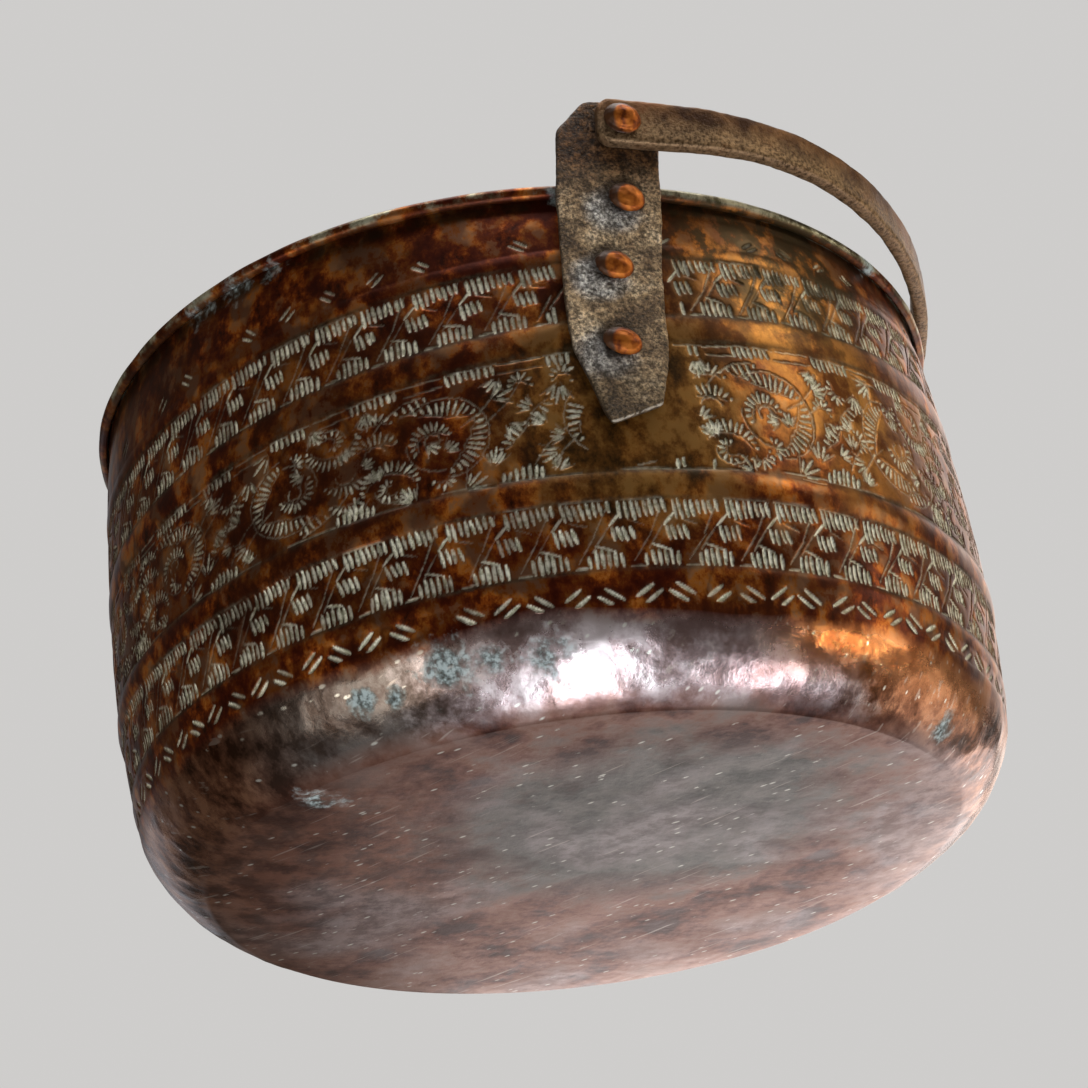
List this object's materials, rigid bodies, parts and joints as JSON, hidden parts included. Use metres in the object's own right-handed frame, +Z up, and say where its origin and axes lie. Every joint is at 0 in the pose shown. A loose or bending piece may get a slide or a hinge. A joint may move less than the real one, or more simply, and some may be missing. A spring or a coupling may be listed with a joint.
{
  "type": "bail-handled copper kettle",
  "caption": "Low, wide open copper kettle with a wired rim, riveted strap ears and a flat swinging bail handle folded onto the rim.",
  "frame": {"origin": "centre of the underside of the flat base", "axes": "+Z up along the vessel's axis; the two ears stand at -Y and +Y and the bail turns about the line between them; at rest the bail is folded down towards +X onto the rim"},
  "size_m": [0.263, 0.286, 0.1773],
  "materials": {
    "copper_shell": "raised copper sheet, burnished at the heel, dark red-brown patina on the chased wall, tinned inside",
    "rivet_copper": "hammered copper, worn bright orange on the domes",
    "ear_iron": "pitted forged iron, sandy grey-tan scale",
    "bail_iron": "forged iron strip with a smooth brown patina",
    "wire_iron": "drawn iron wire, hidden inside the rolled rim"
  },
  "bodies": {
    "kettle": {"vessel": "copper_shell", "rim_wire": "wire_iron", "front_ear": "ear_iron", "rear_ear": "ear_iron", "front_top_rivet": "rivet_copper", "front_middle_rivet": "rivet_copper", "front_bottom_rivet": "rivet_copper", "front_pivot_rivet": "rivet_copper", "rear_top_rivet": "rivet_copper", "rear_middle_rivet": "rivet_copper", "rear_bottom_rivet": "rivet_copper", "rear_pivot_rivet": "rivet_copper"},
    "bail": {"bail": "bail_iron"}
  },
  "joints": [
    {"name": "bail_swing", "type": "hinge", "parent": "kettle", "child": "bail", "pos_m": [0, 0, 0.1665], "axis": [0, -1, 0], "range_deg": [0, 188.4]}
  ]
}
